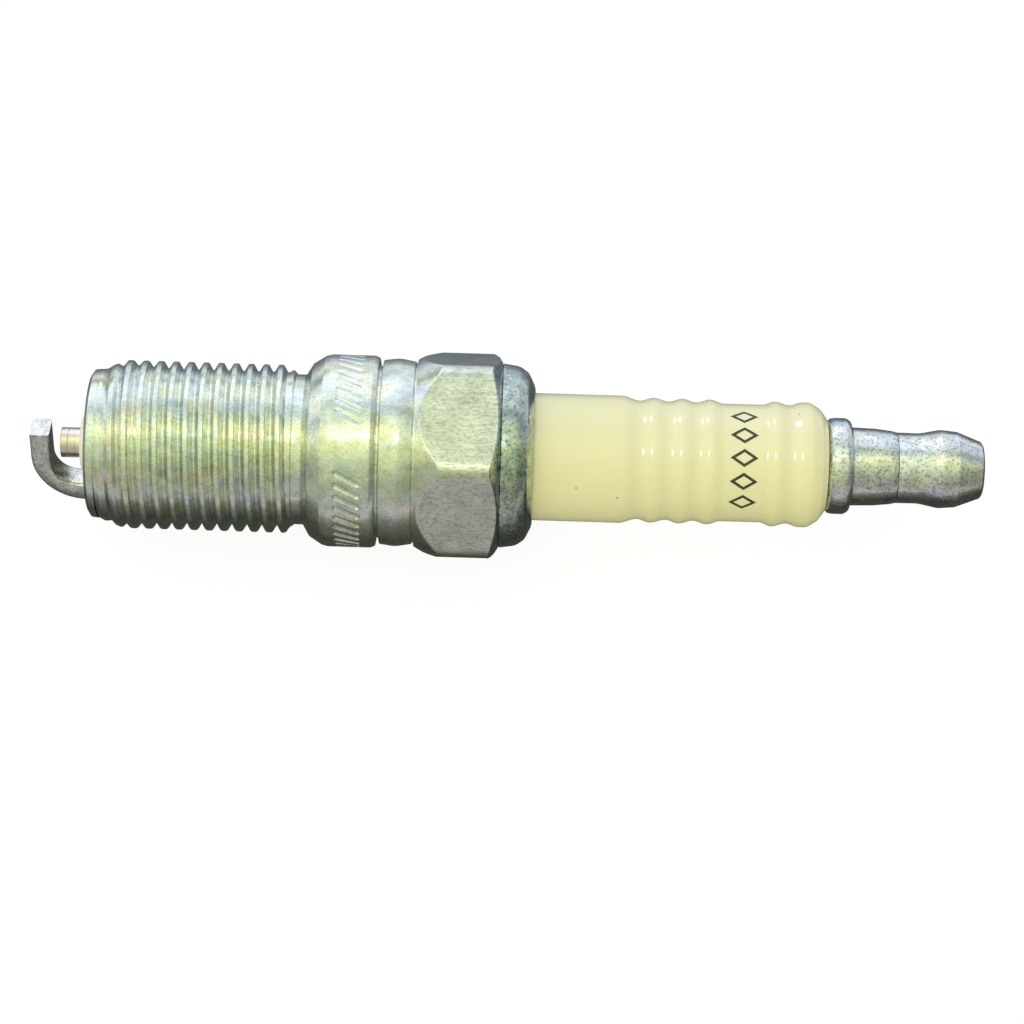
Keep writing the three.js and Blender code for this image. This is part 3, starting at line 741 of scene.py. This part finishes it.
def build_strap():
    """The strap: a rounded rectangle carried along its side view, from the weld to the arm's end."""
    *side_sizes, half_width = strap_sizes()
    bm = bmesh.new()
    rings = []
    corner = STRAP_CORNER
    for inside, outside in strap_side(*side_sizes):
        inside, outside = Vector(inside), Vector(outside)
        middle = (inside + outside) / 2
        half = (outside - inside).length / 2
        outward = (outside - inside).normalized()
        ring = []
        for k in range(4):
            sx = 1 if k in (0, 3) else -1
            sy = 1 if k in (0, 1) else -1
            for j in range(5):
                turn = (k * 90 + j * 22.5) * DEGREE
                u = sx * (half_width - corner) + corner * math.cos(turn)
                v = sy * (half - corner) + corner * math.sin(turn)
                place = middle + outward * v
                point = Vector((SEAT_X + place.x, 0, 0)) + STRAP_OUT * place.y + STRAP_ACROSS * u
                ring.append(bm.verts.new(point * MM))
        rings.append(ring)
    count = len(rings[0])
    for a, b in zip(rings, rings[1:]):
        for j in range(count):
            bm.faces.new((a[j], a[(j + 1) % count], b[(j + 1) % count], b[j]))
    bm.faces.new(list(reversed(rings[0])))
    bm.faces.new(rings[-1])
    bmesh.ops.recalc_face_normals(bm, faces=bm.faces)
    return finished("ground_strap", bm, "plug", ["ground_electrode"], "strap_nickel", STRAP, sharp=50)


# ---------------------------------------------------------------- insulator

RIB_RADIUS = 5.2
INSULATOR_GROOVE_RADIUS = 4.93
BAND_RADIUS = 4.9
INSULATOR_RADIUS = 5.3
INSULATOR_BODY_RADIUS = 4.7
FLANGE_RADIUS = 6.1
ELECTRODE_BORE = 1.3
ELECTRODE_SEAT = -5.0  # station of the step between the two bores
STUD_BORE = 1.95
LOWER_SWELLS = [27.8, 28.9, 30.2, 31.3, 32.5, 33.6]  # grooves and ribs in turn
UPPER_SWELLS = [39.0, 40.2, 41.3]  # ribs and a groove in turn


def insulator_outline():
    """The insulator's outline, from the step in its bore round the outside and back to the step."""
    nose = rounded(
        [
            (ELECTRODE_SEAT, ELECTRODE_BORE),
            (NOSE_TIP, ELECTRODE_BORE, 0.12),
            (NOSE_TIP, 2.35, 0.45),
            (-9.4, 3.3, 0.1),
            (-8.2, INSULATOR_BODY_RADIUS, 0.1),
            (3.3, INSULATOR_BODY_RADIUS, 0.1),
            (4.6, FLANGE_RADIUS, 0.1),
            (12.5, FLANGE_RADIUS, 0.1),
            (13.5, INSULATOR_RADIUS, 0.1),
            (26.3, INSULATOR_RADIUS),
        ]
    )
    points = [*nose]
    for i, station in enumerate(LOWER_SWELLS):
        points += wave(points[-1], (station, RIB_RADIUS if i % 2 else INSULATOR_GROOVE_RADIUS))
    points += wave(points[-1], (34.8, BAND_RADIUS))
    points.append((36.5, BAND_RADIUS))
    points.append((38.0, BAND_RADIUS))
    for i, station in enumerate(UPPER_SWELLS):
        points += wave(points[-1], (station, INSULATOR_GROOVE_RADIUS if i % 2 else RIB_RADIUS))
    shoulder = rounded(
        [
            (UPPER_SWELLS[-1], RIB_RADIUS),
            (41.95, RIB_RADIUS, 0.9),
            (42.8, 4.65, 0.7),
            (INSULATOR_BACK - 0.02, 3.9, 0.05),
            (INSULATOR_BACK, STUD_BORE, 0.05),
            (-4.35, STUD_BORE, 0.05),
            (ELECTRODE_SEAT, ELECTRODE_BORE),
        ],
        5,
    )
    return points + shoulder[1:]


GLAZE_START = -8  # station in front of which the insulator is unglazed


def build_insulator():
    """The insulator, glazed but for its nose."""
    outline = insulator_outline()
    bm = turned(lambda side: outline, 160)
    for face in bm.faces:
        if face.calc_center_median().x / MM - SEAT_X < GLAZE_START:
            face.material_index = 1
    return finished("ceramic_insulator", bm, "plug", ["insulator"], "glazed_ceramic", GLAZE, NOSE)


INK_HEIGHT = 0.012  # over the glaze
INK_THICKNESS = 0.03
MARKS = 5
MARK_STATION = 36.3
MARK_STEP = 23 / 360
MARK_FIRST = -30.3 / 360  # side of the first lozenge
MARK_LENGTH = 2.3
MARK_WIDTH = 1.5
MARK_LINE = 0.23
MARK_STEPS = 8  # faces along each side of a lozenge


def lozenge(bm, station, side):
    """Adds the outline of a lozenge in raised ink on the insulator's band, centred at a station and side."""
    half = Vector((MARK_LENGTH / 2, MARK_WIDTH / 2))
    inner = 1 - MARK_LINE / (half.x * half.y / half.length)
    corners = [Vector((half.x, 0)), Vector((0, half.y)), Vector((-half.x, 0)), Vector((0, -half.y))]
    rings = []
    for scale in (1, inner):
        ring = []
        for a, b in zip(corners, corners[1:] + corners[:1]):
            for i in range(MARK_STEPS):
                point = (a + (b - a) * i / MARK_STEPS) * scale
                angle = 2 * math.pi * side + point.y / BAND_RADIUS
                radius = BAND_RADIUS + INK_HEIGHT
                place = (SEAT_X + station + point.x, -radius * math.sin(angle), radius * math.cos(angle))
                ring.append(bm.verts.new(Vector(place) * MM))
        rings.append(ring)
    outer, inside = rings
    count = len(outer)
    for i in range(count):
        after = (i + 1) % count
        bm.faces.new((outer[i], outer[after], inside[after], inside[i]))


def build_marks():
    """Five plain printed lozenges in a row round the insulator's band."""
    bm = bmesh.new()
    for i in range(MARKS):
        lozenge(bm, MARK_STATION, MARK_FIRST + i * MARK_STEP)
    bmesh.ops.recalc_face_normals(bm, faces=bm.faces)
    bmesh.ops.solidify(bm, geom=bm.faces[:], thickness=INK_THICKNESS * MM)
    bmesh.ops.recalc_face_normals(bm, faces=bm.faces)
    return finished("printed_marks", bm, "plug", [], "glazed_ceramic", INK, sharp=60)


# ---------------------------------------------------------------- centre electrode


ELECTRODE_RADIUS = 1.25
ELECTRODE_HEAD_RADIUS = 1.85
ELECTRODE_HEAD_END = -3.95


def build_electrode():
    """The centre electrode's sheath, with a fine groove round its tip and a hole for the core."""
    hole = CORE_RADIUS + 0.02
    outline = rounded(
        [
            (ELECTRODE_TIP, 0),
            (ELECTRODE_TIP, ELECTRODE_RADIUS, 0.08),
            (ELECTRODE_TIP + 0.55, ELECTRODE_RADIUS, 0.02),
            (ELECTRODE_TIP + 0.62, 1.21, 0.02),
            (ELECTRODE_TIP + 0.69, ELECTRODE_RADIUS, 0.02),
            (-4.95, ELECTRODE_RADIUS),
            (-4.3, ELECTRODE_HEAD_RADIUS, 0.05),
            (ELECTRODE_HEAD_END, ELECTRODE_HEAD_RADIUS, 0.05),
            (ELECTRODE_HEAD_END, ELECTRODE_RADIUS),
            (ELECTRODE_BACK, ELECTRODE_RADIUS),
            (ELECTRODE_BACK, hole),
            (CORE_TIP + 0.6, hole),
            (CORE_TIP - 0.06, 0),
        ]
    )
    bm = turned(lambda side: outline, 96)
    return finished(
        "nickel_centre_electrode", bm, "plug", ["centre_electrode"], "electrode_nickel", ELECTRODE
    )


# ---------------------------------------------------------------- terminal

STUD_RADIUS = 1.75
FOOT_RADIUS = 1.5
FOOT_GROOVE_RADIUS = 1.3
NUT_BORE = 2.06
TIP_RADIUS = 2.0
TIP_PITCH = 0.7
TIP_TOOTH = thread_tooth(TIP_PITCH, 5 / 8 * TIP_PITCH * math.cos(30 * DEGREE), TIP_PITCH / 16, 0.03, 0.06)
POST_END = NUT_START - 0.03


def stud_outline(side):
    """The stud's outline at a side: grooved foot, shank, collar, post and threaded tip."""
    root = TIP_RADIUS - max(height for _, height in TIP_TOOTH)
    foot = [(STUD_START, 0), (STUD_START, FOOT_RADIUS, 0.1)]
    for i in range(3):
        groove = STUD_START + 0.5 + i
        foot.append((groove, FOOT_RADIUS, 0.05))
        foot.append((groove + 0.25, FOOT_GROOVE_RADIUS, 0.05))
        foot.append((groove + 0.5, FOOT_RADIUS, 0.05))
    body = rounded(
        [
            *foot,
            (4.3, FOOT_RADIUS),
            (4.55, STUD_RADIUS),
            (INSULATOR_BACK + 0.03, STUD_RADIUS),
            (INSULATOR_BACK + 0.03, STUD_COLLAR_RADIUS, 0.6),
            (44.95, STUD_COLLAR_RADIUS, 0.5),
            (45.35, 3.75, 0.4),
            (45.45, 3.26, 0.12),
            (47.4, 3.2, 1.0),
            (POST_END - 0.4, 3.05, 0.3),
            (POST_END, 2.96, 0.05),
            (POST_END, root + 0.02),
        ]
    )
    thread = thread_outline(
        TIP_TOOTH,
        TIP_RADIUS,
        TIP_PITCH,
        POST_END,
        STUD_END - 0.2,
        POST_END,
        60 * DEGREE,
        45 * DEGREE,
        side,
    )
    tip = rounded([(STUD_END - 0.2, root), (STUD_END, root - 0.2, 0.05), (STUD_END, 0)])
    return [*body, *thread, *tip[1:]]


def build_stud():
    """The terminal stud, the post and threaded tip of which stand out of the insulator."""
    bm = turned(stud_outline, 96)
    return finished("steel_terminal_stud", bm, "plug", ["terminal_stud"], "plated_terminal", ZINC_TERMINAL)


def nut_outline():
    """The nut's outline: blind bore, waist, bulge and end cone."""
    return rounded(
        [
            (NUT_END - 1.05, 0),
            (NUT_END - 1.75, NUT_BORE, 0.05),
            (NUT_START + 0.25, NUT_BORE, 0.05),
            (NUT_START, NUT_BORE + 0.25, 0.05),
            (NUT_START, 2.94, 0.05),
            (NUT_START + 1.9, 2.92, 3),
            (NUT_START + 3.6, NUT_RADIUS + 0.03, 1.6),
            (NUT_START + 5.0, 3.14, 0.1),
            (NUT_END - 0.15, 2.36, 0.3),
            (NUT_END, 2.1, 0.15),
            (NUT_END, 0),
        ],
        6,
    )


def build_nut():
    """The terminal nut, which rides on its own body."""
    outline = nut_outline()
    bm = turned(lambda side: outline, 128)
    return finished("removable_terminal_nut", bm, "nut", ["terminal_nut"], "plated_terminal", ZINC_TERMINAL)


# ---------------------------------------------------------------- carried-over inner pieces

RING_FINISH = ((0.40, 0.41, 0.42), (0.60, 0.61, 0.62), 1.0, 0.4, 2.5, 0.006)
INNER_FINISHES = {
    "centre_electrode_core": ((0.70, 0.36, 0.22), (0.86, 0.50, 0.34), 1.0, 0.35, 3.0, 0.004),
    "glass_seal": ((0.10, 0.08, 0.07), (0.36, 0.26, 0.20), 0.2, 0.45, 3.0, 0.02),
    "inner_gasket": ((0.42, 0.43, 0.44), (0.62, 0.63, 0.64), 1.0, 0.4, 2.5, 0.006),
    "lower_packing_ring": RING_FINISH,
    "upper_packing_ring": RING_FINISH,
    "talc_filling": ((0.72, 0.71, 0.66), (0.86, 0.85, 0.81), 0.0, 0.95, 5.0, 0.03),
}


def finish_inner_pieces():
    """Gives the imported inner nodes, which keep their shapes, finishes of their own."""
    for name, finish in INNER_FINISHES.items():
        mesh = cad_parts[name].data
        material = simple_finish(name + "_finish", *finish)
        mesh.materials.clear()
        mesh.materials.append(material)


# ---------------------------------------------------------------- stage, light and camera


def build_floor():
    """A plain pale floor under the plug. Glossy rays see a painted reflection on it instead: dark near the
    plug as painted shade, and brightest behind it.
    """
    material, tree, shader = principled("pale_floor")
    tree.nodes.remove(shader)
    path = node(tree, "ShaderNodeLightPath")
    place = node(tree, "ShaderNodeNewGeometry").outputs["Position"]
    across = node(tree, "ShaderNodeSeparateXYZ", {0: place}).outputs["Y"]
    reach_mm = 60
    spread = {"Value": across, "From Min": -reach_mm * MM, "From Max": reach_mm * MM}
    factor = node(tree, "ShaderNodeMapRange", spread).outputs[0]

    def at_y(mm):
        return (mm + reach_mm) / (2 * reach_mm)

    # painted reflection: the floor's colour for glossy rays only, painted shade near the plug and a bright
    # stretch behind it, turning to even grey far to the left
    painted_reflection = ramp(
        tree,
        factor,
        (at_y(-45), (0.46, 0.44, 0.435)),
        (at_y(-32), (0.24, 0.24, 0.21)),
        (at_y(-11), (0.05, 0.052, 0.038)),
        (at_y(9), (0.07, 0.075, 0.08)),
        (at_y(20), (0.24, 0.27, 0.31)),
        (at_y(40), (0.84, 0.90, 0.92)),
    )
    along = node(tree, "ShaderNodeSeparateXYZ", {0: place}).outputs["X"]
    left = {"Value": along, "From Min": -42 * MM, "From Max": -70 * MM}
    painted_reflection = mix(tree, node(tree, "ShaderNodeMapRange", left).outputs[0], painted_reflection, (0.42, 0.45, 0.40))
    seen = mix(tree, path.outputs["Is Diffuse Ray"], (1.05, 1.05, 1.05), (0.42, 0.40, 0.38))
    # glossy rays see the painted reflection and painted shade instead of the pale floor
    seen = mix(tree, path.outputs["Is Glossy Ray"], seen, painted_reflection)
    glow = node(tree, "ShaderNodeEmission", {"Color": seen})
    paper = node(tree, "ShaderNodeBsdfDiffuse", {"Color": (0.97, 0.97, 0.97, 1)})
    share = math_node(tree, "MULTIPLY", path.outputs["Is Camera Ray"], 0.14)
    blend = node(tree, "ShaderNodeMixShader", {0: share})
    tree.links.new(glow.outputs[0], blend.inputs[1])
    tree.links.new(paper.outputs[0], blend.inputs[2])
    tree.links.new(blend.outputs[0], tree.nodes["Material Output"].inputs["Surface"])
    half = 2.0
    height = cad_box[0].z
    mesh = bpy.data.meshes.new("floor")
    corners = [(-half, -half, height), (half, -half, height), (half, half, height), (-half, half, height)]
    mesh.from_pydata(corners, [], [(0, 1, 2, 3)])
    new_object("floor", mesh, material)


def build_world():
    """Soft light all round, bluer from the back; metal sees bands in it, as from lamps and walls.

    The bands go by the angle round the plug's axis from the camera's line towards the image's top: cool
    white at the back, a yellow-green band above the camera, and dimmer on the near side. Less light comes
    from the right.
    """
    world = bpy.data.worlds.new("studio")
    world.use_nodes = True
    bpy.context.scene.world = world
    tree = world.node_tree
    direction = node(tree, "ShaderNodeTexCoord").outputs["Generated"]
    up = node(tree, "ShaderNodeVectorMath", {0: direction, 1: IMAGE_UP}, operation="DOT_PRODUCT")
    near = node(tree, "ShaderNodeVectorMath", {0: direction, 1: TO_CAMERA}, operation="DOT_PRODUCT")
    angle = math_node(tree, "ARCTAN2", up.outputs["Value"], near.outputs["Value"])
    half_turn = {"Value": angle, "From Min": -math.pi, "From Max": math.pi}
    place = node(tree, "ShaderNodeMapRange", half_turn).outputs[0]
    brightest = 2.0

    def band(degrees, *colour):
        return (degrees + 180) / 360, tuple(part / brightest for part in colour)

    bands = ramp(
        tree,
        place,
        band(-84, 0.48, 0.46, 0.41),
        band(-48, 0.46, 0.47, 0.34),
        band(-25, 0.60, 0.65, 0.40),
        band(5, 0.98, 1.06, 0.62),
        band(27, 1.36, 1.42, 0.88),
        band(38, 1.06, 1.14, 0.82),
        band(54, 0.72, 0.81, 0.74),
        band(72, 1.15, 1.22, 1.26),
        band(95, 1.25, 1.32, 1.38),
        band(126, 0.85, 0.93, 0.96),
    )
    even = ramp(
        tree,
        place,
        band(-80, 1.18, 1.15, 0.89),
        band(10, 1.22, 1.21, 0.98),
        band(80, 1.30, 1.32, 1.76),
    )
    along = node(tree, "ShaderNodeSeparateXYZ", {0: direction}).outputs["X"]
    leftwards = node(tree, "ShaderNodeMapRange", {"Value": along, "From Min": 1, "From Max": -1}).outputs[0]
    bands = mix(
        tree,
        1.0,
        bands,
        ramp(tree, leftwards, (0.0, 0.42), (0.25, 0.64), (0.5, 1.0), (0.65, 1.0), (1.0, 0.8)),
        "MULTIPLY",
    )
    even = mix(tree, 1.0, even, ramp(tree, leftwards, (0.0, 0.62), (1.0, 1.0)), "MULTIPLY")
    path = node(tree, "ShaderNodeLightPath")
    light = mix(tree, path.outputs["Is Glossy Ray"], even, bands)
    light = mix(tree, path.outputs["Is Camera Ray"], light, (0.5, 0.5, 0.5))
    background = tree.nodes["Background"]
    tree.links.new(light, background.inputs["Color"])
    background.inputs["Strength"].default_value = brightest


LAMP_DISTANCE = 0.4
GLAZE_LAMP_ALONG = -0.13  # to the left, so that the ribs catch the light and the plain barrel doesn't
METAL_LAMP_ALONG = 0.021


def highlight(name, degrees, along, size, power, pieces):
    """A square lamp that only shows as a highlight, on some pieces.

    It stands at an angle as for the world's bands, and at a distance along the plug from its middle.
    """
    light = bpy.data.lights.new(name, "AREA")
    light.size = size
    light.energy = power
    piece = bpy.data.objects.new(name, light)
    bpy.context.scene.collection.objects.link(piece)
    away = TO_CAMERA * math.cos(degrees * DEGREE) + IMAGE_UP * math.sin(degrees * DEGREE)
    piece.location = away * LAMP_DISTANCE + Vector((along, 0, 0))
    piece.rotation_mode = "QUATERNION"
    piece.rotation_quaternion = (-piece.location).to_track_quat("-Z", "Y")
    piece.visible_diffuse = False
    lit = bpy.data.collections.new(name + "_pieces")
    for each in pieces:
        lit.objects.link(each)
    piece.light_linking.receiver_collection = lit


CAMERA_DISTANCE = 0.268
FRAME_WIDTH = 0.08533  # of what the camera sees at the plug, in metres
CAMERA_ROLL = 1.77 * DEGREE
CAMERA_RIGHT = 0.59 * MM  # how far to the right of the plug's middle the camera aims
CAMERA_DOWN = 4.67 * MM  # and how far below it in the image


def build_camera():
    """Above and in front of the plug, rolled so that the terminal end sits slightly lower."""
    right = Vector((1, 0, 0))
    camera = bpy.data.cameras.new("camera")
    camera.sensor_width = 36
    camera.lens = camera.sensor_width * CAMERA_DISTANCE / FRAME_WIDTH
    camera.clip_start = 0.01
    camera.clip_end = 20
    piece = bpy.data.objects.new("camera", camera)
    bpy.context.scene.collection.objects.link(piece)
    across = right * math.cos(CAMERA_ROLL) + IMAGE_UP * math.sin(CAMERA_ROLL)
    up = IMAGE_UP * math.cos(CAMERA_ROLL) - right * math.sin(CAMERA_ROLL)
    aim = right * CAMERA_RIGHT - IMAGE_UP * CAMERA_DOWN
    rotation = Matrix((across, up, TO_CAMERA)).transposed().to_4x4()
    piece.matrix_world = Matrix.Translation(aim + TO_CAMERA * CAMERA_DISTANCE) @ rotation
    bpy.context.scene.camera = piece


shell = build_shell()
build_strap()
ceramic = build_insulator()
build_marks()
build_electrode()
build_stud()
build_nut()
finish_inner_pieces()
build_floor()
build_world()
highlight("glaze_highlight_near", 15, GLAZE_LAMP_ALONG, 0.03, 2.0, [ceramic])
highlight("glaze_highlight_back", 86, GLAZE_LAMP_ALONG, 0.03, 1.6, [ceramic])
highlight("metal_highlight", 17, METAL_LAMP_ALONG, 0.07, 0.03, [shell])
build_camera()
bpy.context.scene.view_settings.view_transform = "Standard"
